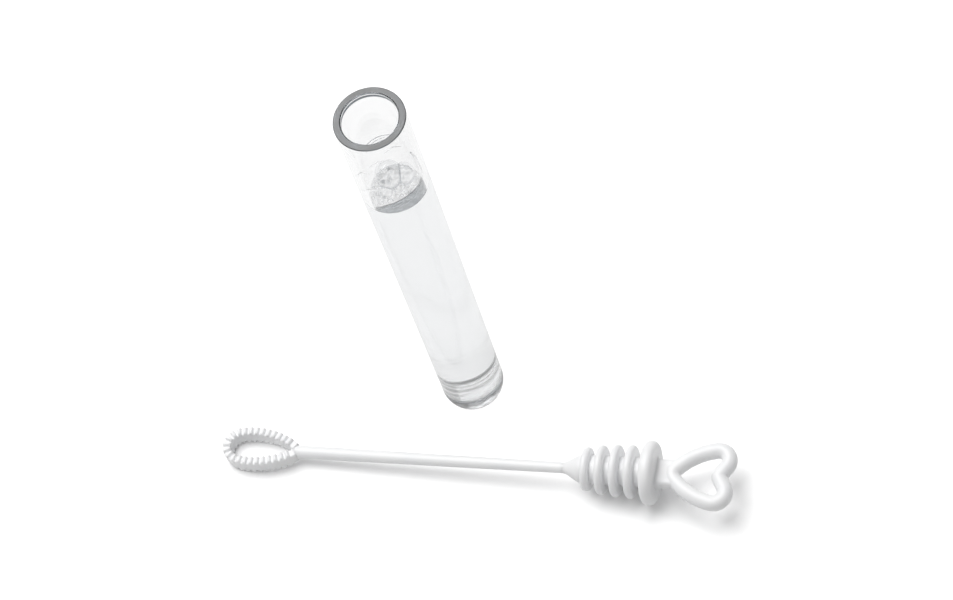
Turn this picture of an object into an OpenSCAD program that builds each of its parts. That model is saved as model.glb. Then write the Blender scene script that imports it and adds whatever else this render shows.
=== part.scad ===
// Bubble wand with its tube: a clear tube with a rounded end, partly filled with bubble solution under a
// layer of foam, and the stoppered wand lying in front of it.
// Millimetres, +Z up, origin at the centre of the tube's foot.

/* [Tube] */
// outside diameter at the mouth
tube_od = 15; // [12:0.1:24]
// outside diameter where the rounded end begins
tube_foot_od = 14.2; // [11:0.1:23]
// height from the foot to the rim
tube_h = 119; // [90:0.5:160]
// bore of the stopper seat in the mouth
mouth_bore = 11.8; // [9:0.1:20]
// depth of the stopper seat below the rim
seat_depth = 15; // [8:0.5:25]
// bore just below the stopper seat
bore_top = 11.6; // [8:0.1:19.6]
// bore just above its bottom
bore_low = 11; // [8:0.1:19]
// thickness of clear plastic under the bore
floor_t = 6.2; // [2:0.1:10]
// rounding radius of the corner at the bottom of the bore
corner_r = 0.6; // [0.2:0.1:2]
// rounding radius of the outer lower end
end_round = 6; // [3:0.1:8]
// diameter of the flat that the tube stands on
foot_d = 8.4; // [5:0.1:11]

/* [Contents] */
// height of the solution's surface above the foot
fill_h = 92; // [30:0.5:100]
// largest foam bubble, diameter
bubble_d = 6.4; // [3:0.1:7]

/* [Stopper] */
// diameter of the flange that closes the mouth
flange_d = 14.4; // [12:0.1:24]
// thickness of the flange
flange_t = 3; // [2.9:0.1:6]
// rounding of the flange's rim
flange_round = 1.4; // [0.5:0.1:1.4]
// diameter of the stopper's core
core_d = 6.4; // [4:0.1:9]
// length of the core between the flange and the cone
core_len = 14.3; // [10:0.1:20]
// length of the cone that blends the core into the stem
cone_len = 4; // [1:0.1:8]
// how much wider than the seat the first sealing rib is, counted from the flange
seal_squeeze = 0.2; // [0:0.05:0.5]
// step down in diameter from the first sealing rib to the second
rib_step_2 = 0.3; // [0:0.05:0.6]
// step down in diameter from the second sealing rib to the third
rib_step_3 = 0.6; // [0:0.05:1]
// step down in diameter from the third sealing rib to the fourth
rib_step_4 = 1.2; // [0:0.05:1.5]
// distance from one sealing rib to the next
rib_pitch = 3.36; // [2.5:0.02:5]
// thickness of a sealing rib
rib_t = 1.7; // [0.6:0.1:2]
// gap between the flange and the nearest sealing rib
rib_gap = 1.95; // [1:0.05:5]

/* [Stem] */
// diameter of the stem at the loop
stem_d = 3; // [2:0.1:4]
// diameter of the stem at the stopper
stem_thin_d = 2.5; // [1.8:0.1:4]
// length of the wand from the flange to the end of the loop
reach = 98.5; // [60:0.1:110]

/* [Loop] */
// radius of the loop's blunt end
loop_end_r = 4.4; // [3:0.1:5]
// how far each side of the loop swells out past the radius of its end
loop_swell = 0.3; // [0.1:0.05:1.2]
// distance from the loop's end to its widest place
loop_wide_at = 7; // [6:0.1:9]
// radius of the long curve that draws the loop in to the stem
loop_taper_r = 20; // [15:0.5:40]
// width of the band that the loop is made of
band_w = 1.9; // [1.5:0.1:2.6]
// height of the smooth band between the wick ribs
band_h = 3.1; // [1.5:0.1:4]
// how far the wick ribs stand up from the band
wick_h = 0.8; // [0.4:0.05:1.5]
// width of a wick rib
wick_w = 0.85; // [0.5:0.05:1.2]
// distance from one wick rib to the next
wick_pitch = 1.43; // [1.2:0.01:2.5]

/* [Handle] */
// thickness of the round strand that the heart is bent from
strand_d = 3.5; // [2:0.05:4.5]
// radius of the heart's rounded tip, on the strand's centre line
tip_r = 1.9; // [1:0.1:3]
// radius of the heart's curved sides, on the strand's centre line
side_r = 16; // [12:0.5:60]
// radius of the lobes, on the strand's centre line
lobe_r = 2.5; // [2.2:0.1:6]
// distance of each lobe's centre from the wand's axis
lobe_off = 3.9; // [2.8:0.1:7]
// distance from the centre of the tip's bend to the line through the lobes' centres
lobe_at = 7.9; // [5:0.1:16]
// how far the lobes turn in towards the notch, in degrees
notch_turn = 31; // [10:1:50]
// width of the flat neck between the flange and the heart
neck_w = 6.4; // [4:0.1:10]
// thickness of the neck
neck_t = 3; // [1.5:0.1:3.4]
// length of the neck
neck_len = 4.4; // [3:0.1:8]
// how far the heart's tip is sunk into the neck
tip_sunk = 2.65; // [1:0.05:2.9]

/* [Layout] */
// place of the flange's inner face along X
wand_x = 43.3; // [30:0.1:60]
// distance of the wand's axis in front of the tube's axis
wand_y = 20.65; // [16:0.05:60]
// turn of the lying wand about the vertical, in degrees
wand_turn = 0.2; // [-10:0.1:10]

/* [Hidden] */
$fn = 96;
// edge of a block that is larger than any piece
big = 200;
// how far a cutting shape runs past the face that it cuts
cut_past = 1;
// overlap of shapes that are drawn as one profile
overlap = 0.01;
tube_r = tube_od / 2;
end_r = tube_foot_od / 2;
foot_r = foot_d / 2;
seat_r = mouth_bore / 2;
end_ring = end_r - end_round;
end_rise = sqrt(pow(end_round, 2) - pow(foot_r - end_ring, 2));
low_r = bore_low / 2;
corner_z = floor_t + corner_r;
seat_z = tube_h - seat_depth;
bore_r = bore_top / 2;
fill_r = low_r + (bore_r - low_r) * (fill_h - corner_z) / (seat_z - corner_z);

flange_r = flange_d / 2;
core_r = core_d / 2;
rib_1_r = (mouth_bore + seal_squeeze) / 2;
rib_2_r = rib_1_r - rib_step_2 / 2;
rib_3_r = rib_2_r - rib_step_3 / 2;
rib_4_r = rib_3_r - rib_step_4 / 2;
stem_end = -core_len - cone_len;

loop_h = band_h + 2 * wick_h;
loop_half_w = loop_end_r + loop_swell;
loop_end = -reach;
end_c = loop_end_r;
wide_rise = loop_wide_at - end_c;
shoulder_r = (pow(wide_rise, 2) + pow(loop_half_w, 2) - pow(loop_end_r, 2))
    / (2 * (loop_half_w - loop_end_r));
shoulder_c = shoulder_r - loop_half_w;
taper_c = loop_taper_r - loop_half_w;
shoulder_turn = atan(wide_rise / shoulder_c);
stem_r = stem_d / 2;
taper_run = sqrt(pow(loop_taper_r, 2) - pow(taper_c + stem_r, 2));
loop_len = loop_wide_at + taper_run;
taper_turn = asin(taper_run / loop_taper_r);

end_mid = loop_end_r - band_w / 2;
shoulder_mid = shoulder_r - band_w / 2;
taper_mid = loop_taper_r - band_w / 2;
end_arc = end_mid * (90 - shoulder_turn) * PI / 180;
shoulder_arc = shoulder_mid * shoulder_turn * PI / 180;
taper_arc = taper_mid * taper_turn * PI / 180;
// how much shorter a wick rib is than the band is wide
wick_ease = 0.1;
wick_count = floor((end_arc + shoulder_arc + taper_arc - stem_r) / wick_pitch);

strand_r = strand_d / 2;
// how far a side or the notch's strand is let into a bend, and how much slimmer it is there
strand_in = 0.4;
strand_ease = 0.05;
inner_r = strand_r - strand_ease;
tip_u = flange_t + neck_len - tip_sunk + strand_r + tip_r;
lobe_u = tip_u + lobe_at;
tip_to_lobe = norm([lobe_at, lobe_off]);
side_run = (pow(side_r - tip_r, 2) - pow(side_r - lobe_r, 2) + pow(tip_to_lobe, 2)) / (2 * tip_to_lobe);
side_off = sqrt(pow(side_r - tip_r, 2) - pow(side_run, 2));
side_u = tip_u + (side_run * lobe_at + side_off * lobe_off) / tip_to_lobe;
side_v = (side_run * lobe_off - side_off * lobe_at) / tip_to_lobe;
side_from = atan2(lobe_off - side_v, lobe_u - side_u);
side_to = atan2(-side_v, tip_u - side_u);
side_in = strand_in / side_r * 180 / PI;
notch_len = (lobe_off - lobe_r * sin(notch_turn)) / cos(notch_turn);
notch_u = lobe_u + lobe_r * cos(notch_turn) - notch_len * sin(notch_turn);

rim_ring = flange_r - flange_round;
rim_u = flange_round;
lie_run = rim_u + reach;
lie_fall = rim_ring - loop_h / 2;
lie = asin(flange_round / norm([lie_run, lie_fall])) + atan(lie_fall / lie_run);
wand_z = flange_round + rim_ring * cos(lie) - rim_u * sin(lie);

// Lays the wand's own axis, +X towards the handle, down on its flange and loop.
module lying() {
    translate([wand_x, -wand_y, wand_z]) rotate([0, -lie, wand_turn]) children();
}

// Turns a solid drawn upwards along +Z so that it runs along the wand's axis from place u.
module along(u) {
    translate([u, 0, 0]) rotate([0, 90, 0]) children();
}

// Outer form of the tube: straight draft, rounded lower end, flat foot.
module tube_form() {
    rotate_extrude() {
        polygon([[0, end_rise], [end_r, end_rise], [tube_r, tube_h], [0, tube_h]]);
        intersection() {
            translate([end_ring, end_rise]) circle(r = end_round);
            square([end_r, end_rise + overlap]);
        }
    }
}

// Inner form of the tube up to a height: flat bottom, rounded corner, then a slight widening.
module bore_form(top_z, top_r) {
    rotate_extrude() {
        polygon([[0, corner_z], [low_r, corner_z], [top_r, top_z], [0, top_z]]);
        translate([0, floor_t]) square([low_r - corner_r, corner_r + overlap]);
        intersection() {
            translate([low_r - corner_r, corner_z]) circle(r = corner_r);
            square([low_r, corner_z + overlap]);
        }
    }
}

module tube_body() {
    color([0.9, 0.93, 0.96, 0.35]) difference() {
        tube_form();
        bore_form(seat_z, bore_r);
        translate([0, 0, seat_z]) cylinder(h = seat_depth + cut_past, r = seat_r);
    }
}

module bubble_solution() {
    color([0.93, 0.95, 0.97, 0.4]) bore_form(fill_h, fill_r);
}

// A bubble of the given share of the largest one, sitting in the solution's surface.
// Its place is in shares of the surface's radius, and sunk is in shares of its own.
module bubble(place, share, sunk) {
    r = bubble_d / 2 * share;
    translate([place[0] * fill_r, place[1] * fill_r, fill_h + r * (1 - sunk)]) sphere(r = r);
}

module foam_bubbles() {
    color([0.95, 0.96, 0.98, 0.4]) difference() {
        union() {
            bubble([-0.29, 0.35], 0.97, 0.05);
            bubble([0.27, 0.5], 0.75, 0.05);
            bubble([-0.36, -0.2], 0.5, 0.2);
            bubble([-0.72, 0.04], 0.38, 0.2);
            bubble([0.08, 0.05], 0.42, 0.2);
            bubble([0.55, 0.34], 0.38, 0.2);
        }
        translate([0, 0, fill_h - big / 2]) cube(big, center = true);
    }
}

// The loop's outline drawn in by an inset, as a solid of the given height centred on the wand's plane.
module loop_form(inset, h) {
    intersection() {
        translate([loop_wide_at, -taper_c, 0]) cylinder(h = h, r = loop_taper_r - inset, center = true);
        translate([loop_wide_at, taper_c, 0]) cylinder(h = h, r = loop_taper_r - inset, center = true);
        translate([loop_wide_at, -big / 2, -big / 2]) cube([loop_len - loop_wide_at, big, big]);
    }
    intersection() {
        translate([loop_wide_at, -shoulder_c, 0]) cylinder(h = h, r = shoulder_r - inset, center = true);
        translate([loop_wide_at, shoulder_c, 0]) cylinder(h = h, r = shoulder_r - inset, center = true);
        translate([end_c, -big / 2, -big / 2]) cube([wide_rise, big, big]);
    }
    intersection() {
        translate([end_c, 0, 0]) cylinder(h = h, r = loop_end_r - inset, center = true);
        translate([-big + end_c, -big / 2, -big / 2]) cube(big);
    }
}

// One wick rib across the band, rounded above and below, at a distance from a curve's centre.
module wick_rib(mid) {
    wick_len = band_w - wick_ease;
    translate([mid - wick_len / 2, 0, 0]) rotate([90, 0, 90]) linear_extrude(wick_len) {
        square([wick_w, loop_h - wick_w], center = true);
        translate([0, loop_h / 2 - wick_w / 2]) circle(d = wick_w);
        translate([0, wick_w / 2 - loop_h / 2]) circle(d = wick_w);
    }
}

// A wick rib at a distance along one side of the loop, measured from the middle of its end.
module wick_rib_at(s) {
    if (s < end_arc) {
        translate([end_c, 0, 0]) rotate(180 - s / end_mid * 180 / PI) wick_rib(end_mid);
    } else if (s < end_arc + shoulder_arc) {
        turn = 90 + shoulder_turn - (s - end_arc) / shoulder_mid * 180 / PI;
        translate([loop_wide_at, -shoulder_c, 0]) rotate(turn) wick_rib(shoulder_mid);
    } else {
        turn = 90 - (s - end_arc - shoulder_arc) / taper_mid * 180 / PI;
        translate([loop_wide_at, -taper_c, 0]) rotate(turn) wick_rib(taper_mid);
    }
}

module bubble_loop() {
    color("white") lying() translate([loop_end, 0, 0]) {
        difference() {
            loop_form(0, band_h);
            loop_form(band_w, band_h + cut_past);
        }
        wick_rib_at(0);
        for (i = [1 : wick_count]) {
            wick_rib_at(i * wick_pitch);
            mirror([0, 1, 0]) wick_rib_at(i * wick_pitch);
        }
    }
}

module stem() {
    start = loop_end + loop_len;
    color("white") lying() along(start) cylinder(h = stem_end - start, r1 = stem_r, r2 = stem_thin_d / 2);
}

module stopper_core() {
    color("white") lying() {
        along(stem_end) cylinder(h = cone_len, r1 = stem_thin_d / 2, r2 = core_r);
        along(-core_len) cylinder(h = core_len, r = core_r);
    }
}

// A sealing rib, counted from the flange, with a rounded edge.
module seal_rib(number, r) {
    place = -rib_gap - rib_t - (number - 1) * rib_pitch;
    color("white") lying() along(place) difference() {
        union() {
            cylinder(h = rib_t, r = r - rib_t / 2);
            translate([0, 0, rib_t / 2]) rotate_extrude() translate([r - rib_t / 2, 0]) circle(d = rib_t);
        }
        translate([0, 0, -cut_past]) cylinder(h = rib_t + 2 * cut_past, r = core_r);
    }
}

module seal_rib_1() {
    seal_rib(1, rib_1_r);
}

module seal_rib_2() {
    seal_rib(2, rib_2_r);
}

module seal_rib_3() {
    seal_rib(3, rib_3_r);
}

module seal_rib_4() {
    seal_rib(4, rib_4_r);
}

module cap_flange() {
    color("white") lying() along(0) rotate_extrude() {
        square([rim_ring, flange_t]);
        translate([0, flange_round]) square([flange_r, flange_t - 2 * flange_round]);
        translate([rim_ring, flange_round]) circle(r = flange_round);
        translate([rim_ring, flange_t - flange_round]) circle(r = flange_round);
    }
}

// A bend of the heart's strand about the origin, from one angle to another.
module bend(r, from, to, thick_r) {
    rotate(from) rotate_extrude(angle = to - from) translate([r, 0]) circle(r = thick_r);
}

// One side of the heart: a curve from the tip's bend to the lobe, the lobe, then straight in to the notch.
module half_heart() {
    translate([side_u, side_v, 0]) bend(side_r, side_from - side_in, side_to + side_in, inner_r);
    translate([lobe_u, lobe_off, 0]) bend(lobe_r, -notch_turn, side_from, strand_r);
    translate([lobe_u, lobe_off, 0]) rotate(-notch_turn) translate([lobe_r, strand_in, 0]) rotate([90, 0, 0])
        cylinder(h = notch_len + strand_in, r = inner_r);
}

module heart_handle() {
    color("white") lying() {
        translate([flange_t, -neck_w / 2, -neck_t / 2]) cube([neck_len, neck_w, neck_t]);
        translate([tip_u, 0, 0]) bend(tip_r, side_to, 360 - side_to, strand_r);
        half_heart();
        mirror([0, 1, 0]) half_heart();
        translate([notch_u, 0, 0]) sphere(r = strand_r);
    }
}

tube_body();
bubble_solution();
foam_bubbles();
bubble_loop();
stem();
stopper_core();
seal_rib_1();
seal_rib_2();
seal_rib_3();
seal_rib_4();
cap_flange();
heart_handle();
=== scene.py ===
"""Bubble wand and its tube of solution: the finished look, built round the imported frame."""

import math
import random

import bmesh
import bpy
from mathutils import Euler, Matrix, Vector, noise


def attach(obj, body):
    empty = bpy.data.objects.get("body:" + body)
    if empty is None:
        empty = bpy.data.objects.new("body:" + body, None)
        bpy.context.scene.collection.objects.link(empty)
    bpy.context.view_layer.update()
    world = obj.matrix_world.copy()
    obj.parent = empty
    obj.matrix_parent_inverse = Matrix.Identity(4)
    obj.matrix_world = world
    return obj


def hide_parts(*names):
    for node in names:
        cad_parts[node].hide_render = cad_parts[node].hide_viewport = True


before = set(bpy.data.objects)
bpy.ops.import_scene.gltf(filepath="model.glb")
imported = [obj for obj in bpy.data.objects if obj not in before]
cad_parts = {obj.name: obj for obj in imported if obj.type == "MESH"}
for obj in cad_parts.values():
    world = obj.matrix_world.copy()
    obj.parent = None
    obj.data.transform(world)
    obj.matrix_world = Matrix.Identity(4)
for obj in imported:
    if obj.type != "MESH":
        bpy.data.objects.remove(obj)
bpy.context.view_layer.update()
scene = bpy.context.scene
random.seed(11)

MM = 0.001

# Sizes of the solids, in millimetres.
TUBE_H, TUBE_R, END_R, END_ROUND, FOOT_R = 119.0, 7.5, 7.1, 6.0, 4.2
SEAT_R, BORE_R, FLOOR_T, CORNER_R = 5.9, 5.5, 6.2, 0.6
FILL_H = 92.0
FLANGE_R, FLANGE_T, FLANGE_ROUND = 7.2, 3.0, 1.4
CORE_R, CORE_LEN, CONE_LEN = 3.2, 14.3, 4.0
RIB_R, RIB_PITCH, RIB_T, RIB_GAP = (6.0, 5.85, 5.55, 4.95), 3.36, 1.7, 1.95
STEM_R, STEM_THIN_R, REACH = 1.5, 1.25, 98.5
LOOP_END_R, LOOP_HALF_W, LOOP_WIDE_AT, LOOP_TAPER_R = 4.4, 4.7, 7.0, 20.0
BAND_W, BAND_H, WICK_H, WICK_W, WICK_PITCH = 1.9, 3.1, 0.8, 0.85, 1.43
STRAND_R, TIP_R, SIDE_R, LOBE_R, LOBE_OFF, LOBE_AT = 1.75, 1.9, 16.0, 2.5, 3.9, 7.9
NOTCH_TURN = math.radians(31)
NECK_W, NECK_T, NECK_LEN, TIP_SUNK = 6.4, 3.0, 4.4, 2.65
WAND_X, WAND_Y, WAND_TURN = 43.3, -20.65, math.radians(0.2)

END_RING = END_R - END_ROUND
END_RISE = math.sqrt(END_ROUND ** 2 - (FOOT_R - END_RING) ** 2)
CORNER_Z = FLOOR_T + CORNER_R
LOOP_H = BAND_H + 2 * WICK_H
RIM_RING = FLANGE_R - FLANGE_ROUND
LIE_RUN, LIE_FALL = FLANGE_ROUND + REACH, RIM_RING - LOOP_H / 2
LIE = math.asin(FLANGE_ROUND / math.hypot(LIE_RUN, LIE_FALL)) + math.atan(LIE_FALL / LIE_RUN)
WAND_Z = FLANGE_ROUND + RIM_RING * math.cos(LIE) - FLANGE_ROUND * math.sin(LIE)

# The wand's own axis, +X towards the handle, as it lies on its flange and loop.
LYING = (Matrix.Translation((WAND_X, WAND_Y, WAND_Z))
         @ Matrix.Rotation(WAND_TURN, 4, "Z") @ Matrix.Rotation(-LIE, 4, "Y"))
# A form turned about +Z, laid along the wand's axis.
ALONG = LYING @ Matrix.Rotation(math.pi / 2, 4, "Y")
UPRIGHT = Matrix.Identity(4)


# Mesh helpers. Forms are drawn in millimetres and stored in metres.

def finish_mesh(name, bm, place, sharp=35, turn_out=True):
    """Makes an object of a mesh drawn in millimetres, smooth but for its sharp edges."""
    if turn_out:
        bmesh.ops.recalc_face_normals(bm, faces=bm.faces)
    for edge in bm.edges:
        if len(edge.link_faces) == 2:
            edge.smooth = edge.calc_face_angle() < math.radians(sharp)
    for face in bm.faces:
        face.smooth = True
    bm.transform(Matrix.Scale(MM, 4) @ place)
    mesh = bpy.data.meshes.new(name)
    bm.to_mesh(mesh)
    bm.free()
    piece = bpy.data.objects.new(name, mesh)
    scene.collection.objects.link(piece)
    return piece


def turn_profile(bm, profile, segments, closed=False):
    """Adds the surface that a profile of (radius, height) points sweeps about +Z."""
    rings = []
    for r, z in profile:
        count = 1 if r < 1e-6 else segments
        rings.append([bm.verts.new((r * math.cos(2 * math.pi * i / count),
                                    r * math.sin(2 * math.pi * i / count), z)) for i in range(count)])
    pairs = list(zip(rings, rings[1:]))
    if closed:
        pairs.append((rings[-1], rings[0]))
    for a, b in pairs:
        for i in range(segments):
            k = i + 1
            corners = [a[i % len(a)], a[k % len(a)], b[k % len(b)], b[i % len(b)]]
            corners = list(dict.fromkeys(corners))
            if len(corners) > 2:
                bm.faces.new(corners)
    return rings


def turned(name, profile, place, segments=192, closed=False, sharp=35):
    """Makes an object of a profile of (radius, height) points turned about +Z."""
    bm = bmesh.new()
    turn_profile(bm, profile, segments, closed)
    return finish_mesh(name, bm, place, sharp)


def arc(cr, cz, radius, start, end, steps=12):
    """Points on an arc in the (radius, height) plane, angles in degrees."""
    points = []
    for i in range(steps + 1):
        t = math.radians(start + (end - start) * i / steps)
        points.append((cr + radius * math.cos(t), cz + radius * math.sin(t)))
    return points


def swept(bm, path, section_at, closed):
    """Adds a tube along a path in the wand's plane; section_at gives (side, up) points for each place."""
    rings = []
    count = len(path)
    for i, (u, v) in enumerate(path):
        u0, v0 = path[i - 1] if (closed or i > 0) else path[i]
        u1, v1 = path[(i + 1) % count] if (closed or i + 1 < count) else path[i]
        du, dv = u1 - u0, v1 - v0
        n = math.hypot(du, dv)
        su, sv = -dv / n, du / n
        rings.append([bm.verts.new((u + su * side, v + sv * side, up)) for side, up in section_at(i)])
    pairs = list(zip(rings, rings[1:]))
    if closed:
        pairs.append((rings[-1], rings[0]))
    for a, b in pairs:
        for i in range(len(a)):
            k = (i + 1) % len(a)
            bm.faces.new((a[i], a[k], b[k], b[i]))
    if not closed:
        bm.faces.new(rings[0])
        bm.faces.new(rings[-1])


def moulded(name, bm, place, voxel, rounds):
    """Melts overlapping closed forms into one moulding with small fillets."""
    bmesh.ops.recalc_face_normals(bm, faces=bm.faces)
    mesh = bpy.data.meshes.new(name + "_raw")
    bm.to_mesh(mesh)
    bm.free()
    raw = bpy.data.objects.new(name + "_raw", mesh)
    scene.collection.objects.link(raw)
    remesh = raw.modifiers.new("melt", "REMESH")
    remesh.mode = "VOXEL"
    remesh.voxel_size = voxel
    smooth = raw.modifiers.new("soften", "SMOOTH")
    smooth.factor = 0.5
    smooth.iterations = rounds
    graph = bpy.context.evaluated_depsgraph_get()
    melted = bpy.data.meshes.new_from_object(raw.evaluated_get(graph))
    out = bmesh.new()
    out.from_mesh(melted)
    bpy.data.objects.remove(raw)
    bpy.data.meshes.remove(mesh)
    bpy.data.meshes.remove(melted)
    return finish_mesh(name, out, place, 180)


# Materials.

def new_material(name):
    """A new material with its node tree and shader."""
    material = bpy.data.materials.new(name)
    material.use_nodes = True
    return material, material.node_tree, material.node_tree.nodes["Principled BSDF"]


def add_node(tree, kind, **inputs):
    """Adds a node and sets its inputs, with _ for a space in their names."""
    node = tree.nodes.new(kind)
    for key, value in inputs.items():
        node.inputs[key.replace("_", " ")].default_value = value
    return node


def noise_field(tree, scale, detail=3.0):
    """A noise that is fixed to the object, with the given number of cells in a metre."""
    place = tree.nodes.new("ShaderNodeTexCoord")
    field = add_node(tree, "ShaderNodeTexNoise", Scale=scale, Detail=detail)
    tree.links.new(place.outputs["Object"], field.inputs["Vector"])
    return field


def add_bump(tree, shader, field, strength, distance):
    """Lets a noise raise and lower the shader's surface."""
    bump = add_node(tree, "ShaderNodeBump", Strength=strength, Distance=distance)
    tree.links.new(field.outputs["Fac"], bump.inputs["Height"])
    tree.links.new(bump.outputs["Normal"], shader.inputs["Normal"])


# Depth of the unevenness on clear surfaces, in metres.
WAVE_DEPTH = 0.0002


def clear_material(name, ior, colour, density, wave_scale, wave, roughness=0.0, clear=1.0, grey=1.0):
    """Clear stuff with a slight tint inside and faint unevenness on its surface. A grey below 1 is painted
    shade in its base colour.
    """
    material, tree, shader = new_material(name)
    shader.inputs["Base Color"].default_value = (grey, grey, grey, 1)
    shader.inputs["Roughness"].default_value = roughness
    shader.inputs["IOR"].default_value = ior
    shader.inputs["Transmission Weight"].default_value = clear
    volume = tree.nodes.new("ShaderNodeVolumeAbsorption")
    volume.inputs["Color"].default_value = (*colour, 1)
    volume.inputs["Density"].default_value = density
    tree.links.new(volume.outputs["Volume"], tree.nodes["Material Output"].inputs["Volume"])
    add_bump(tree, shader, noise_field(tree, wave_scale), wave, WAVE_DEPTH)
    return material


def add_mottled_shade(material, scale, dark, light):
    """Painted mottled shade: uneven dark and light patches of base colour, with so many cells in a metre
    along each axis, for clear stuff.
    """
    tree = material.node_tree
    tone = tree.nodes.new("ShaderNodeValToRGB")
    tone.color_ramp.elements[0].position = 0.4
    tone.color_ramp.elements[0].color = (dark, dark, dark, 1)
    tone.color_ramp.elements[1].position = 0.6
    tone.color_ramp.elements[1].color = (light, light, light, 1)
    place = tree.nodes.new("ShaderNodeTexCoord")
    stretch = add_node(tree, "ShaderNodeMapping", Scale=scale)
    tree.links.new(place.outputs["Object"], stretch.inputs["Vector"])
    field = add_node(tree, "ShaderNodeTexNoise", Scale=1.0, Detail=4.0)
    tree.links.new(stretch.outputs["Vector"], field.inputs["Vector"])
    tree.links.new(field.outputs["Fac"], tone.inputs["Fac"])
    tree.links.new(tone.outputs["Color"], tree.nodes["Principled BSDF"].inputs["Base Color"])


# Cells of the froth in a metre.
FROTH_CELLS = 900.0


def froth_material():
    """Fine froth: pale cells of uneven tone between white borders, part see-through."""
    material, tree, shader = new_material("froth")
    place = tree.nodes.new("ShaderNodeTexCoord")
    borders = add_node(tree, "ShaderNodeTexVoronoi", Scale=FROTH_CELLS)
    borders.feature = "DISTANCE_TO_EDGE"
    tree.links.new(place.outputs["Object"], borders.inputs["Vector"])
    cells = add_node(tree, "ShaderNodeTexVoronoi", Scale=FROTH_CELLS)
    tree.links.new(place.outputs["Object"], cells.inputs["Vector"])
    tone = tree.nodes.new("ShaderNodeValToRGB")
    tone.color_ramp.elements[0].position = 0.06
    tone.color_ramp.elements[0].color = (0.42, 0.44, 0.46, 1)
    tone.color_ramp.elements[1].position = 0.34
    tone.color_ramp.elements[1].color = (0.93, 0.94, 0.95, 1)
    tree.links.new(cells.outputs["Color"], tone.inputs["Fac"])
    border = tree.nodes.new("ShaderNodeMapRange")
    border.inputs["From Min"].default_value = 0.05
    border.inputs["From Max"].default_value = 0.2
    tree.links.new(borders.outputs["Distance"], border.inputs["Value"])
    tint = tree.nodes.new("ShaderNodeMix")
    tint.data_type = "RGBA"
    tint.inputs["A"].default_value = (0.99, 0.99, 0.99, 1)
    tree.links.new(border.outputs["Result"], tint.inputs["Factor"])
    tree.links.new(tone.outputs["Color"], tint.inputs["B"])
    tree.links.new(tint.outputs["Result"], shader.inputs["Base Color"])
    shader.inputs["Roughness"].default_value = 0.25
    shader.inputs["IOR"].default_value = 1.33
    shader.inputs["Transmission Weight"].default_value = 0.1
    bump = add_node(tree, "ShaderNodeBump", Strength=0.6, Distance=0.0003)
    tree.links.new(borders.outputs["Distance"], bump.inputs["Height"])
    tree.links.new(bump.outputs["Normal"], shader.inputs["Normal"])
    return material


def white_plastic_material():
    """Glossy white moulded plastic: faint cloudiness, uneven gloss and a fine moulded skin."""
    material, tree, shader = new_material("white_plastic")
    cloud = noise_field(tree, 140.0)
    tint = tree.nodes.new("ShaderNodeValToRGB")
    tint.color_ramp.elements[0].position = 0.3
    tint.color_ramp.elements[0].color = (0.895, 0.9, 0.912, 1)
    tint.color_ramp.elements[1].position = 0.7
    tint.color_ramp.elements[1].color = (0.935, 0.938, 0.942, 1)
    tree.links.new(cloud.outputs["Fac"], tint.inputs["Fac"])
    tree.links.new(tint.outputs["Color"], shader.inputs["Base Color"])
    gloss = tree.nodes.new("ShaderNodeMapRange")
    gloss.inputs["To Min"].default_value = 0.28
    gloss.inputs["To Max"].default_value = 0.42
    tree.links.new(noise_field(tree, 420.0).outputs["Fac"], gloss.inputs["Value"])
    tree.links.new(gloss.outputs["Result"], shader.inputs["Roughness"])
    shader.inputs["IOR"].default_value = 1.49
    shader.inputs["Subsurface Weight"].default_value = 0.5
    shader.inputs["Subsurface Radius"].default_value = (1.0, 1.0, 1.0)
    shader.inputs["Subsurface Scale"].default_value = 0.0012
    add_bump(tree, shader, noise_field(tree, 900.0, 4.0), 0.12, 0.0001)
    return material


# Each clear stuff as (index of refraction, tint, density of the tint).
PLASTIC = (1.5, (0.35, 0.42, 0.48), 11.0)
SOLUTION = (1.335, (0.7, 0.735, 0.76), 15.0)
# The bubble skin's strong tint is painted shade: it darkens the bubbles' edges, where the skin is seen
# edge-on.
SKIN_SHADE_TINT = (1.335, (0.5, 0.54, 0.58), 450.0)

CLEAR = clear_material("clear_plastic", *PLASTIC, 90.0, 0.02)
# Rim: rough and partly milky, with a grey base colour that is painted shade; the band under the rim and the
# bore's bottom corner take it too.
CLEAR_PAINTED_SHADE = clear_material("clear_plastic_painted_shade", *PLASTIC, 700.0, 0.1, roughness=0.3, clear=0.76, grey=0.48)
# Round end: rough and uneven, with painted mottled shade in its base colour.
END_PAINTED_SHADE = clear_material("clear_plastic_end_painted_shade", *PLASTIC, 600.0, 0.8, roughness=0.22, clear=0.94)
add_mottled_shade(END_PAINTED_SHADE, (650.0, 650.0, 1300.0), 0.16, 0.74)
LIQUID = clear_material("solution", *SOLUTION, 60.0, 0.015)
FILM = clear_material("foam_film", *SKIN_SHADE_TINT, 300.0, 0.05)
FROTH = froth_material()
WHITE = white_plastic_material()


def place_piece(piece, material, body, slot, *nodes):
    """Gives a piece its material and body; the slot argument is not used. Only the wand casts shadows: the
    rest lets light pass.
    """
    piece.visible_shadow = body == "wand"
    piece.data.materials.clear()
    piece.data.materials.append(material)
    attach(piece, body)
    if nodes:
        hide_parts(*nodes)
    return piece


# Tube: a one-piece moulding with a round end, a flat foot and a softened rim.

# Distance of a support ring from the end of an arc or of a straight run.
NEAR = 0.05


def bore_at(z):
    """Radius of the bore at a height above its rounded corner."""
    return BORE_R + (SEAT_R - BORE_R) * (z - CORNER_Z) / (TUBE_H - CORNER_Z)


def heights(low, high, step):
    """Evenly spaced heights with one more close to each end, so that shading stays true there."""
    count = max(2, round((high - low) / step))
    inner = [low + (high - low) * k / count for k in range(1, count)]
    return [low, low + NEAR] + inner + [high - NEAR, high]


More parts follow.
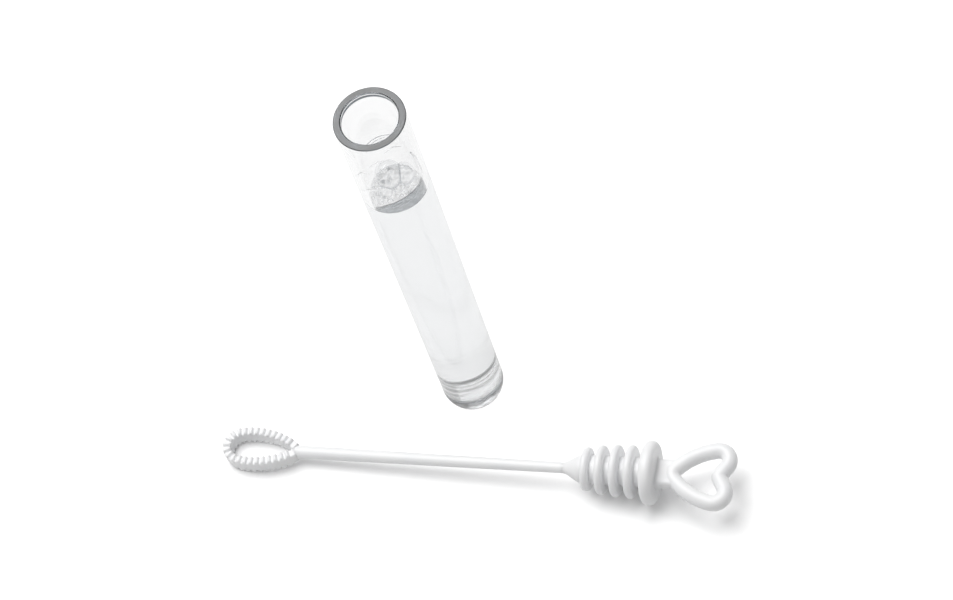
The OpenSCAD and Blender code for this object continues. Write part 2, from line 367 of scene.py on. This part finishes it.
# Rounding of the rim's outer edge, and width and height of the rounding of its inner edge.
RIM_SOFT, LIP_W, LIP_H = 0.25, 0.3, 0.3
LIP_STEPS = 8
# Rough band on the bore, which takes the rim's painted grey shade: how far its upper and lower edges lie
# under the rim.
BAND_TOP, BAND_LOW = 0.45, 1.2
# The foot's middle is a hair above the floor, and ends short of the foot's edge.
FOOT_LIFT, FOOT_EDGE = 0.02, 0.3
RING_STEP = 4.0
TUBE_SEGMENTS = 256
foot_angle = -math.degrees(math.acos((FOOT_R - END_RING) / END_ROUND))
tube_profile = [(0.0, FOOT_LIFT), (FOOT_R - FOOT_EDGE, FOOT_LIFT)]
tube_profile += arc(END_RING, END_RISE, END_ROUND, foot_angle + 1, 0, 28)
tube_profile += [(END_R + (TUBE_R - END_R) * (z - END_RISE) / (TUBE_H - END_RISE), z)
                 for z in [END_RISE + NEAR] + heights(FLOOR_T, TUBE_H - RIM_SOFT, RING_STEP)[:-1]]
tube_profile += arc(TUBE_R - RIM_SOFT, TUBE_H - RIM_SOFT, RIM_SOFT, 0, 90, 6)
tube_profile += [(SEAT_R + LIP_W + 0.03, TUBE_H)]
for k in range(LIP_STEPS + 1):
    lip_turn = math.pi / 2 * k / LIP_STEPS
    tube_profile.append((SEAT_R + LIP_W * (1 - math.sin(lip_turn)),
                         TUBE_H - LIP_H * (1 - math.cos(lip_turn))))
tube_profile += [(bore_at(TUBE_H - depth), TUBE_H - depth)
                 for depth in (BAND_TOP - NEAR, BAND_TOP, BAND_LOW, BAND_LOW + NEAR)]
tube_profile += [(bore_at(z), z)
                 for z in reversed(heights(CORNER_Z, TUBE_H - BAND_LOW - 2 * NEAR, RING_STEP)[1:-1])]
tube_profile += arc(BORE_R - CORNER_R, CORNER_Z, CORNER_R, 0, -90, 16)
tube_profile += [(BORE_R - CORNER_R - NEAR, FLOOR_T), (0.0, FLOOR_T)]
tube = turned("tube", tube_profile, UPRIGHT, TUBE_SEGMENTS)
place_piece(tube, CLEAR, "tube", "clear_plastic", "tube_body")
tube.data.materials.append(CLEAR_PAINTED_SHADE)
tube.data.materials.append(END_PAINTED_SHADE)
PAINTED_SHADE_INDEX, END_SHADE_INDEX = 1, 2
# Painted shade: the rim's face, the band under it and the bore's bottom corner take the grey rim material,
# and the outside of the round end takes the mottled end material.
for face in tube.data.polygons:
    z, r = face.center.z / MM, face.center.xy.length / MM
    depth = TUBE_H - z
    on_rim = depth < 2 * NEAR and SEAT_R + LIP_W - NEAR < r < TUBE_R - NEAR
    on_band = BAND_TOP < depth < BAND_LOW and r < SEAT_R + 2 * NEAR
    on_corner = FLOOR_T < z < CORNER_Z and BORE_R - CORNER_R < r < BORE_R
    on_end = z < FLOOR_T - NEAR and r > FOOT_R - FOOT_EDGE - 2 * NEAR
    if on_rim or on_band or on_corner:
        face.material_index = PAINTED_SHADE_INDEX
    elif on_end:
        face.material_index = END_SHADE_INDEX

# Solution: let a hair into the wall so that no air gap shows, with its surface drawn up at the wall.
WET = 0.03
# Height of the raised edge, and the distance over which it falls off.
CREEP, CREEP_RUN = 0.9, 1.2
SURFACE_RUN, SURFACE_STEPS = 6.0, 24


def surface_at(r):
    """Height of the solution's surface at a distance from the axis."""
    return FILL_H + CREEP * math.exp(-(bore_at(FILL_H) + WET - r) / CREEP_RUN)


solution_profile = [(0.0, FLOOR_T - WET), (BORE_R - CORNER_R - NEAR, FLOOR_T - WET)]
solution_profile += arc(BORE_R - CORNER_R, CORNER_Z, CORNER_R + WET, -90, 0, 16)
solution_profile += [(bore_at(z) + WET, z) for z in heights(CORNER_Z, FILL_H + CREEP, 2.0)[1:]]
edge_r = bore_at(FILL_H) + WET
for k in range(1, SURFACE_STEPS + 1):
    surface_r = max(edge_r - SURFACE_RUN * k / SURFACE_STEPS, 0.0)
    solution_profile.append((surface_r, surface_at(surface_r)))
solution = turned("solution", solution_profile, UPRIGHT, TUBE_SEGMENTS)
place_piece(solution, LIQUID, "tube", "solution", "bubble_solution")


# Foam: a patch of fine froth on the back of the surface, with thin bubbles on it that press flat against
# each other and against the wall.
FILM_T = 0.14
# Front edge of the foam, as (X, Y) points.
FOAM_EDGE = [(-5.8, -4.6), (-3.2, -4.9), (-1.3, -3.75), (0.15, -2.95),
             (1.65, -1.8), (2.9, -0.65), (4.2, 1.35), (5.3, 3.8)]


def foam_edge_at(x):
    """How far forward the foam reaches, as a Y value for an X value."""
    for (x0, y0), (x1, y1) in zip(FOAM_EDGE, FOAM_EDGE[1:]):
        if x <= x1:
            return y0 + (y1 - y0) * (max(x, x0) - x0) / (x1 - x0)
    return FOAM_EDGE[-1][1]


# Bubbles as (X, Y, Z, radius). The large ones have set places, and the small ones fall where there is room.
BALL_COUNT, MOST_TRIES = 120, 12000
balls = [(-1.7, 2.0, 95.0, 3.1), (1.55, 2.9, 94.3, 2.4), (-2.1, -1.15, 93.2, 1.6), (3.2, 1.95, 92.9, 1.2),
         (-4.15, 0.25, 92.9, 1.2), (0.45, 0.3, 93.0, 1.3), (-3.9, -1.2, 92.6, 0.85), (1.8, 0.9, 92.5, 0.75),
         (-0.6, -0.9, 92.6, 0.8), (4.3, 3.2, 92.7, 0.8)]


def has_room(here, r):
    """True if a bubble keeps its distance from all the others."""
    return all((here - Vector(ball[:3])).length > 0.86 * max(r, ball[3]) + 0.35 * min(r, ball[3])
               for ball in balls)


tries = 0
while len(balls) < BALL_COUNT and tries < MOST_TRIES:
    tries += 1
    r = random.uniform(0.25, 0.7)
    turn = random.uniform(0, 2 * math.pi)
    off = math.sqrt(random.random()) * (bore_at(FILL_H) - 0.7 * r)
    x, y = off * math.cos(turn), off * math.sin(turn)
    if y < foam_edge_at(x) + 0.5 * r:
        continue
    z = surface_at(off) + random.uniform(0.3, 1.0) * r
    if has_room(Vector((x, y, z)), r):
        balls.append((x, y, z, r))


def press(q, index, inset):
    """Presses a point of one bubble's skin in where it meets its neighbours, the wall or the surface."""
    apart, off_wall, off_surface = 0.015, 0.05, 0.03
    own, r = Vector(balls[index][:3]), balls[index][3]
    for k, (x, y, z, s) in enumerate(balls):
        other = Vector((x, y, z))
        gap = (other - own).length
        if k == index or gap >= r + s:
            continue
        away = (other - own) / gap
        reach = (gap * gap + r * r - s * s) / (2 * gap) - apart - inset
        over = (q - own).dot(away) - reach
        if over > 0:
            q -= away * over
    flat = math.hypot(q.x, q.y)
    limit = bore_at(FILL_H) - off_wall - inset
    if flat > limit:
        q.x, q.y = q.x * limit / flat, q.y * limit / flat
    q.z = max(q.z, surface_at(math.hypot(q.x, q.y)) + off_surface + inset)
    return q


foam_mesh = bmesh.new()
for index, (x, y, z, r) in enumerate(balls):
    segments, steps = (80, 48) if r > 1.5 else (40, 24)
    for inset in (0.0, FILM_T):
        skin = [(0.0, -r + inset)] + arc(0.0, 0.0, r - inset, -90, 90, steps)[1:-1] + [(0.0, r - inset)]
        rings = turn_profile(foam_mesh, skin, segments)
        for ring in rings:
            for v in ring:
                v.co = press(v.co + Vector((x, y, z)), index, inset)
        if inset:
            inner = {v for ring in rings for v in ring}
            bmesh.ops.reverse_faces(foam_mesh, faces=[f for f in foam_mesh.faces if f.verts[0] in inner])
foam = finish_mesh("foam", foam_mesh, UPRIGHT, 50, False)
place_piece(foam, FILM, "tube", "foam", "foam_bubbles")

# Froth: a lumpy patch drawn on spokes from its middle, as far as the wall or the foam's front edge.
froth_mesh = bmesh.new()
froth_middle = Vector((-0.9, 2.2))
SPOKES, STEPS, LONGEST, STRIDE = 120, 18, 12.0, 0.05
FROTH_T, OFF_WALL, OFF_SURFACE = 0.5, 0.06, 0.02
top_rings, low_rings = [], []
for j in range(STEPS + 1):
    top_ring, low_ring = [], []
    for i in range(SPOKES):
        t = 2 * math.pi * i / SPOKES
        ray_dir = Vector((math.cos(t), math.sin(t)))
        length = 0.0
        while length < LONGEST:
            p = froth_middle + ray_dir * (length + STRIDE)
            if p.length > bore_at(FILL_H) - OFF_WALL or p.y < foam_edge_at(p.x) + 0.12 * math.sin(9 * t):
                break
            length += STRIDE
        p = froth_middle + ray_dir * length * j / STEPS
        base = surface_at(p.length) + OFF_SURFACE
        lump = noise.noise(Vector((p.x * 1.3, p.y * 1.3, 0.0)))
        lift = FROTH_T * math.sqrt(max(0.0, 1 - (j / STEPS) ** 4)) * (0.8 + 0.5 * lump)
        top_ring.append((p.x, p.y, base + OFF_SURFACE + lift))
        low_ring.append((p.x, p.y, base))
    top_rings.append(top_ring)
    low_rings.append(low_ring)


def froth_skin(rings):
    """Adds the upper or lower skin of the froth, and gives its outer ring."""
    made = [[froth_mesh.verts.new(rings[0][0])]]
    made += [[froth_mesh.verts.new(q) for q in ring] for ring in rings[1:]]
    for a, b in zip(made, made[1:]):
        for i in range(SPOKES):
            k = (i + 1) % SPOKES
            corners = list(dict.fromkeys([a[i % len(a)], a[k % len(a)], b[k], b[i]]))
            froth_mesh.faces.new(corners)
    return made[-1]


rim_top, rim_low = froth_skin(top_rings), froth_skin(low_rings)
for i in range(SPOKES):
    k = (i + 1) % SPOKES
    froth_mesh.faces.new((rim_top[i], rim_top[k], rim_low[k], rim_low[i]))

# White lip along the foam's front edge.
LIP_R, LIP_LIFT, LIP_SIDES = 0.17, 0.2, 8
lip_path = [(0.1 * k, foam_edge_at(0.1 * k)) for k in range(-30, 54)]
lip_path = [q for q in lip_path if math.hypot(*q) < bore_at(FILL_H) - 0.3]


def lip_section(i):
    """Round section of the lip, a little above the surface."""
    middle = surface_at(math.hypot(*lip_path[i])) + LIP_LIFT
    turns = [2 * math.pi * k / LIP_SIDES for k in range(LIP_SIDES)]
    return [(LIP_R * math.cos(t), middle + LIP_R * math.sin(t)) for t in turns]


swept(froth_mesh, lip_path, lip_section, False)
froth = finish_mesh("froth", froth_mesh, UPRIGHT, 60)
place_piece(froth, FROTH, "tube", "foam")


# Beads of solution that films left on the wall above the foam.

def wall_bead(bm, points, width, height):
    """A low bead along (angle, height) points on the bore, thin at both ends."""
    sides, let_in = 10, 0.02
    rings = []
    for i, (angle, z) in enumerate(points):
        share = math.sin(math.pi * (i + 0.5) / len(points)) ** 0.5
        t = math.radians(angle)
        out = Vector((math.cos(t), math.sin(t), 0))
        a0, z0 = points[max(i - 1, 0)]
        a1, z1 = points[min(i + 1, len(points) - 1)]
        r = bore_at(z)
        along = Vector((-math.sin(t), math.cos(t), 0)) * math.radians(a1 - a0) * r + Vector((0, 0, z1 - z0))
        across = out.cross(along).normalized()
        base = out * (r + let_in) + Vector((0, 0, z))
        ring = []
        for k in range(sides):
            s = 2 * math.pi * k / sides
            lift = height * share * (0.5 + 0.5 * math.cos(s))
            ring.append(bm.verts.new(base - out * lift + across * width / 2 * share * math.sin(s)))
        rings.append(ring)
    for a, b in zip(rings, rings[1:]):
        for k in range(sides):
            n = (k + 1) % sides
            bm.faces.new((a[k], a[n], b[n], b[k]))
    bm.faces.new(rings[0])
    bm.faces.new(rings[-1])


def curve_points(keys, count):
    """Evenly spaced points through (angle, height) keys."""
    points = []
    for i in range(count):
        f = i / (count - 1) * (len(keys) - 1)
        k = min(int(f), len(keys) - 2)
        t = f - k
        t = t * t * (3 - 2 * t)
        points.append(tuple(a + (b - a) * t for a, b in zip(keys[k], keys[k + 1])))
    return points


beads_mesh = bmesh.new()
BEAD_STEPS = 40
# Each bead as its (angle, height) keys, its width and its height off the wall.
BEADS = [([(156, 102.2), (132, 102.7), (112, 102.9), (84, 103.0)], 0.6, 0.26),
         ([(140, 101.5), (121, 101.9), (104, 102.2)], 0.45, 0.22),
         ([(128, 100.9), (114, 101.2), (98, 101.3)], 0.3, 0.14),
         ([(-136, 115.3), (-129, 115.1), (-122, 114.4), (-116, 113.6)], 0.5, 0.2),
         ([(-139, 98.5), (-113, 101.5), (-81, 103.0)], 0.4, 0.16),
         ([(-58, 115.6), (-41, 115.9), (-26, 113.9)], 0.5, 0.2),
         ([(-11.5, 109.3), (-3.8, 106.0), (0, 100.5), (-3, 97.9)], 0.5, 0.22),
         ([(-92, 111.5), (-74, 113.2), (-55, 112.6)], 0.4, 0.18),
         ([(-128, 105.5), (-116, 108.0), (-98, 108.6)], 0.4, 0.18)]
for keys, width, height in BEADS:
    wall_bead(beads_mesh, curve_points(keys, BEAD_STEPS), width, height)
beads = finish_mesh("wall_beads", beads_mesh, UPRIGHT, 60)
place_piece(beads, LIQUID, "tube", "solution")


# Wand: loop, stem, stopper and handle in white plastic.

# Room for the melted skin, so that the loop's end stays inside the solids' box.
LOOP_EASE = 0.02


def loop_path():
    """Gives the band's middle line, distances along it, the wicks on a side and the loop's length."""
    wide_rise = LOOP_WIDE_AT - LOOP_END_R
    swell = LOOP_HALF_W - LOOP_END_R
    shoulder_r = (wide_rise ** 2 + LOOP_HALF_W ** 2 - LOOP_END_R ** 2) / (2 * swell)
    shoulder_c = shoulder_r - LOOP_HALF_W
    taper_c = LOOP_TAPER_R - LOOP_HALF_W
    turn = math.atan(wide_rise / shoulder_c)
    run = math.sqrt(LOOP_TAPER_R ** 2 - (taper_c + STEM_R) ** 2)
    taper_turn = math.asin(run / LOOP_TAPER_R)
    radii = [r - BAND_W / 2 for r in (LOOP_END_R, shoulder_r, LOOP_TAPER_R)]
    lengths = [radii[0] * (math.pi / 2 - turn), radii[1] * turn, radii[2] * taper_turn]
    step = 0.055
    side = []
    total = sum(lengths)
    for i in range(int(total / step) + 1):
        s = i * step
        if s < lengths[0]:
            a = math.pi - s / radii[0]
            point = (LOOP_END_R + radii[0] * math.cos(a), radii[0] * math.sin(a))
        elif s < lengths[0] + lengths[1]:
            a = math.pi / 2 + turn - (s - lengths[0]) / radii[1]
            point = (LOOP_WIDE_AT + radii[1] * math.cos(a), -shoulder_c + radii[1] * math.sin(a))
        else:
            a = math.pi / 2 - (s - lengths[0] - lengths[1]) / radii[2]
            point = (LOOP_WIDE_AT + radii[2] * math.cos(a), -taper_c + radii[2] * math.sin(a))
        side.append((point, s))
    both = [((u, -v), -s) for (u, v), s in reversed(side[1:])] + side
    wicks = int((total - STEM_R) / WICK_PITCH)
    line = [(u - REACH + LOOP_EASE, v) for (u, v), s in both]
    return line, [s for p, s in both], wicks, LOOP_WIDE_AT + run


path, places, wicks, loop_len = loop_path()


def band_section(i):
    """Rounded bar, higher where a wick rib crosses the band."""
    nearest = round(places[i] / WICK_PITCH)
    off = abs(places[i] - nearest * WICK_PITCH)
    half_h = BAND_H / 2
    round_r = WICK_W / 2
    if abs(nearest) <= wicks and off < round_r:
        half_h = LOOP_H / 2 - round_r + math.sqrt(round_r ** 2 - off ** 2)
    corner = 0.42
    points = []
    for cx, cy, start in ((1, 1, 0), (-1, 1, 90), (-1, -1, 180), (1, -1, 270)):
        for k in range(5):
            a = math.radians(start + 90 * k / 4)
            points.append((cx * (BAND_W / 2 - corner) + corner * math.cos(a),
                           cy * (half_h - corner) + corner * math.sin(a)))
    return points


loop_mesh = bmesh.new()
swept(loop_mesh, path, band_section, False)
loop = moulded("loop", loop_mesh, LYING, voxel=0.07, rounds=4)
place_piece(loop, WHITE, "wand", "white_plastic", "bubble_loop")

stem_start, stem_end = loop_len - REACH, -CORE_LEN - CONE_LEN
# How far the stem runs on into the loop and into the stopper's cone.
INTO_LOOP, INTO_CONE = 1.5, 0.4
STEM_STEPS = 12
stem_profile = [(0.0, stem_start - INTO_LOOP), (STEM_R - 0.3, stem_start - INTO_LOOP),
                (STEM_R - 0.05, stem_start - 0.6), (STEM_R, stem_start)]
for k in range(1, STEM_STEPS + 1):
    share = k / STEM_STEPS
    stem_profile.append((STEM_R + (STEM_THIN_R - STEM_R) * share,
                         stem_start + (stem_end - stem_start) * share))
stem_profile += [(STEM_THIN_R, stem_end + INTO_CONE), (0.0, stem_end + INTO_CONE)]
stem = turned("wand_stem", stem_profile, ALONG, 96)
place_piece(stem, WHITE, "wand", "white_plastic", "stem")

# The cone is straight for the most part, and eased at both ends. A fillet joins the core to the flange.
CONE_STEPS, CONE_EASE = 14, 0.35
FILLET, INTO_FLANGE = 0.6, 0.3
core_profile = [(0.0, stem_end - 0.25), (STEM_THIN_R - 0.01, stem_end - 0.25),
                (STEM_THIN_R + 0.04, stem_end + 0.1)]
for k in range(1, CONE_STEPS + 1):
    share = k / CONE_STEPS
    eased = CONE_EASE * (0.5 - 0.5 * math.cos(math.pi * share)) + (1 - CONE_EASE) * share
    core_profile.append((STEM_THIN_R + (CORE_R - STEM_THIN_R) * eased, stem_end + CONE_LEN * share))
core_profile += [(CORE_R, -CORE_LEN / 2), (CORE_R, -FILLET)]
core_profile += arc(CORE_R + FILLET, -FILLET, FILLET, 180, 90, 6)
core_profile += [(CORE_R + FILLET, INTO_FLANGE), (0.0, INTO_FLANGE)]
core = turned("stopper", core_profile, ALONG, 128)
place_piece(core, WHITE, "wand", "white_plastic", "stopper_core")

# Fillet at a rib's root, which is let into the core.
ROOT, LET_IN = 0.3, 0.3
for number, rib_r in enumerate(RIB_R, 1):
    low = -RIB_GAP - RIB_T - (number - 1) * RIB_PITCH
    high = low + RIB_T
    rim_r = rib_r - RIB_T / 2
    rib_profile = [(CORE_R - LET_IN, low - ROOT)] + arc(CORE_R + ROOT, low - ROOT, ROOT, 180, 90, 6)
    rib_profile += arc(rim_r, low + RIB_T / 2, RIB_T / 2, -90, 90, 20)
    rib_profile += arc(CORE_R + ROOT, high + ROOT, ROOT, 270, 180, 6) + [(CORE_R - LET_IN, high + ROOT)]
    rib = turned(f"seal_rib_{number}_look", rib_profile, ALONG, 160, True)
    place_piece(rib, WHITE, "wand", "white_plastic", f"seal_rib_{number}")

flange_profile = [(0.0, 0.0)] + [(RIM_RING * k / 3, 0.0) for k in range(1, 3)]
flange_profile += arc(RIM_RING, FLANGE_ROUND, FLANGE_ROUND, -90, 0, 14)
flange_profile += arc(RIM_RING, FLANGE_T - FLANGE_ROUND, FLANGE_ROUND, 0, 90, 14)
flange_profile += [(RIM_RING * k / 3, FLANGE_T) for k in (2, 1)] + [(0.0, FLANGE_T)]
flange = turned("flange", flange_profile, ALONG, 192)
place_piece(flange, WHITE, "wand", "white_plastic", "cap_flange")


def heart_path():
    """Middle line of the heart's strand, all the way round from its tip."""
    tip = Vector((FLANGE_T + NECK_LEN - TIP_SUNK + STRAND_R + TIP_R, 0.0))
    lobe = tip + Vector((LOBE_AT, LOBE_OFF))
    along = (lobe - tip).normalized()
    far = (lobe - tip).length
    run = ((SIDE_R - TIP_R) ** 2 - (SIDE_R - LOBE_R) ** 2 + far ** 2) / (2 * far)
    off = math.sqrt((SIDE_R - TIP_R) ** 2 - run ** 2)
    side = tip + along * run + Vector((along.y, -along.x)) * off
    at_tip = math.atan2(tip.y - side.y, tip.x - side.x)
    at_lobe = math.atan2(lobe.y - side.y, lobe.x - side.x)

    def bend(centre, radius, start, end, count):
        angles = [start + (end - start) * k / count for k in range(count + 1)]
        return [(centre.x + radius * math.cos(a), centre.y + radius * math.sin(a)) for a in angles]

    half = bend(tip, TIP_R, math.pi, at_tip, 12) + bend(side, SIDE_R, at_tip, at_lobe, 24)[1:]
    half += bend(lobe, LOBE_R, at_lobe, -NOTCH_TURN, 40)[1:]
    notch_len = (LOBE_OFF - LOBE_R * math.sin(NOTCH_TURN)) / math.cos(NOTCH_TURN)
    notch = (lobe.x + LOBE_R * math.cos(NOTCH_TURN) - notch_len * math.sin(NOTCH_TURN), 0.0)
    end = half[-1]
    half += [tuple(p + (q - p) * k / 8 for p, q in zip(end, notch)) for k in range(1, 9)]
    return half + [(u, -v) for u, v in reversed(half[1:-1])]


# The strand is a little deeper than it is wide.
STRAND_DEEP, STRAND_SIDES = 1.12, 40
strand_turns = [2 * math.pi * k / STRAND_SIDES for k in range(STRAND_SIDES)]
strand = [(STRAND_R * math.cos(t), STRAND_DEEP * STRAND_R * math.sin(t)) for t in strand_turns]
heart_mesh = bmesh.new()
swept(heart_mesh, heart_path(), lambda i: strand, True)

# The neck is a flat bar with a flared root on the flange.
NECK_ROUND = 0.8
NECK_FLARE = ((-0.3, 0.5), (0.0, 0.5), (0.15, 0.22), (0.35, 0.08), (0.6, 0.0), (NECK_LEN, 0.0))
neck_rings = []
for u, flare in NECK_FLARE:
    half_w, half_t = NECK_W / 2 + flare - NECK_ROUND, NECK_T / 2 + flare - NECK_ROUND
    ring = []
    for cv, cz, start in ((1, 1, 0), (-1, 1, 90), (-1, -1, 180), (1, -1, 270)):
        for k in range(6):
            a = math.radians(start + 90 * k / 5)
            ring.append(heart_mesh.verts.new((FLANGE_T + u, cv * half_w + NECK_ROUND * math.cos(a),
                                              cz * half_t + NECK_ROUND * math.sin(a))))
    neck_rings.append(ring)
for a, b in zip(neck_rings, neck_rings[1:]):
    for k in range(len(a)):
        n = (k + 1) % len(a)
        heart_mesh.faces.new((a[k], a[n], b[n], b[k]))
heart_mesh.faces.new(neck_rings[0])
heart_mesh.faces.new(neck_rings[-1])
heart = moulded("heart", heart_mesh, LYING, voxel=0.09, rounds=8)
place_piece(heart, WHITE, "wand", "white_plastic", "heart_handle")


# Floor, light and camera.

floor_mesh = bpy.data.meshes.new("floor")
# Half of the floor's width, and its height just under the part, in metres.
HALF, FLOOR_Z = 4.0, -2e-5
floor_corners = ((-HALF, -HALF), (HALF, -HALF), (HALF, HALF), (-HALF, HALF))
floor_mesh.from_pydata([(x, y, FLOOR_Z) for x, y in floor_corners], [], [(0, 1, 2, 3)])
floor = bpy.data.objects.new("floor", floor_mesh)
scene.collection.objects.link(floor)
floor_material, floor_tree, floor_shader = new_material("floor")
floor_shader.inputs["Roughness"].default_value = 0.9
floor_shader.inputs["Specular IOR Level"].default_value = 0.0
ray = floor_tree.nodes.new("ShaderNodeLightPath")
# The floor's tone for light that bounces off it, seen through or in other pieces, and seen directly.
FLOOR_LIGHT, FLOOR_THROUGH, FLOOR_SEEN = 0.85, 0.955, 1.27
through = floor_tree.nodes.new("ShaderNodeMath")
through.operation = "MAXIMUM"
floor_tree.links.new(ray.outputs["Is Transmission Ray"], through.inputs[0])
floor_tree.links.new(ray.outputs["Is Glossy Ray"], through.inputs[1])
paint = floor_tree.nodes.new("ShaderNodeMix")
paint.data_type = "RGBA"
paint.inputs["A"].default_value = (FLOOR_LIGHT, FLOOR_LIGHT, FLOOR_LIGHT, 1)
paint.inputs["B"].default_value = (FLOOR_THROUGH, FLOOR_THROUGH, FLOOR_THROUGH, 1)
floor_tree.links.new(through.outputs["Value"], paint.inputs["Factor"])
shown = floor_tree.nodes.new("ShaderNodeMix")
shown.data_type = "RGBA"
shown.inputs["B"].default_value = (FLOOR_SEEN, FLOOR_SEEN, FLOOR_SEEN, 1)
floor_tree.links.new(ray.outputs["Is Camera Ray"], shown.inputs["Factor"])
floor_tree.links.new(paint.outputs["Result"], shown.inputs["A"])
floor_tree.links.new(shown.outputs["Result"], floor_shader.inputs["Base Color"])
floor_mesh.materials.append(floor_material)

world = bpy.data.worlds.new("studio")
scene.world = world
world.use_nodes = True
sky = world.node_tree.nodes["Background"]
sky.inputs["Color"].default_value = (1, 1, 1, 1)
sky.inputs["Strength"].default_value = 0.28

# One large soft lamp overhead, a little behind and to the left, aimed at the part.
key = bpy.data.objects.new("soft_lamp", bpy.data.lights.new("soft_lamp", "AREA"))
scene.collection.objects.link(key)
key.data.size = 0.9
key.data.energy = 9.6
key.location = (-0.28, 0.22, 0.92)
key.rotation_euler = (Vector((0.0, 0.0, 0.0)) - key.location).to_track_quat("-Z", "Y").to_euler()

# The camera that was fitted to the photograph.
camera = bpy.data.objects.new("camera", bpy.data.cameras.new("camera"))
scene.collection.objects.link(camera)
camera.location = (0.18989166, -0.33812833, 0.69826765)
camera.rotation_euler = Euler([math.radians(a) for a in (28.76447612, 10.29514792, 10.21576357)], "XYZ")
camera.data.sensor_width = 36.0
camera.data.lens = 132.21406
camera.data.clip_start = 0.01
scene.camera = camera
scene.view_settings.view_transform = "Standard"
# Light runs along the clear wall and the solution for many turns before it leaves.
BOUNCES = 48
scene.cycles.max_bounces = BOUNCES
scene.cycles.glossy_bounces = BOUNCES
scene.cycles.transmission_bounces = BOUNCES
# The clear pieces cast no shadow, so the light that they would focus is left out too.
scene.cycles.caustics_refractive = False
scene.cycles.caustics_reflective = False
